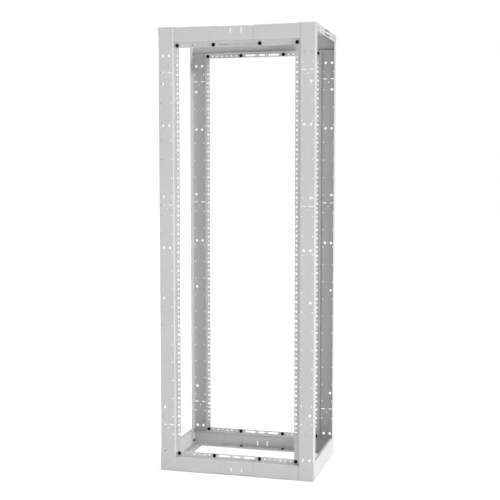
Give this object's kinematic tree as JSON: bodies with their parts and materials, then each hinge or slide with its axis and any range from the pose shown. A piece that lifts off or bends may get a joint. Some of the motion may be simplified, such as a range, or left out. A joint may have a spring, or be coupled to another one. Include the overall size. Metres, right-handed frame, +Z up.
{
  "type": "equipment rack frame",
  "caption": "Open four-post floor-standing rack frame of formed sheet steel, with punched screw flanges, spliced cross beams and side rails joined by black bolts.",
  "frame": {"origin": "on the floor, in the middle of the frame's footprint", "axes": "+Z up; +X to the right and +Y to the back as seen from the front"},
  "size_m": [0.7634, 0.5206, 2.1366],
  "materials": {
    "frame_coat": "fine-textured light grey powder coat",
    "black_fastener": "black oxide",
    "label_rim": "fine matte",
    "label_face": "satin"
  },
  "bodies": {
    "root": {"front_bottom_beam_left_half": "frame_coat", "front_bottom_beam_right_half": "frame_coat", "front_bottom_beam_splice": "frame_coat", "front_bottom_bolts": "black_fastener", "front_bottom_nuts": "black_fastener", "front_bottom_splice_bolts": "black_fastener", "front_left_post": "frame_coat", "front_right_post": "frame_coat", "front_top_beam_left_half": "frame_coat", "front_top_beam_right_half": "frame_coat", "front_top_beam_splice": "frame_coat", "front_top_bolts": "black_fastener", "front_top_nuts": "black_fastener", "front_top_splice_bolts": "black_fastener", "label_blank": "label_face", "label_holder": "label_rim", "left_bottom_rail": "frame_coat", "left_bottom_rail_bolts": "black_fastener", "left_top_rail": "frame_coat", "left_top_rail_bolts": "black_fastener", "rear_bottom_beam_left_half": "frame_coat", "rear_bottom_beam_right_half": "frame_coat", "rear_bottom_beam_splice": "frame_coat", "rear_bottom_bolts": "black_fastener", "rear_bottom_nuts": "black_fastener", "rear_bottom_splice_bolts": "black_fastener", "rear_left_post": "frame_coat", "rear_right_post": "frame_coat", "rear_top_beam_left_half": "frame_coat", "rear_top_beam_right_half": "frame_coat", "rear_top_beam_splice": "frame_coat", "rear_top_bolts": "black_fastener", "rear_top_nuts": "black_fastener", "rear_top_splice_bolts": "black_fastener", "right_bottom_rail": "frame_coat", "right_bottom_rail_bolts": "black_fastener", "right_top_rail": "frame_coat", "right_top_rail_bolts": "black_fastener"}
  },
  "joints": []
}
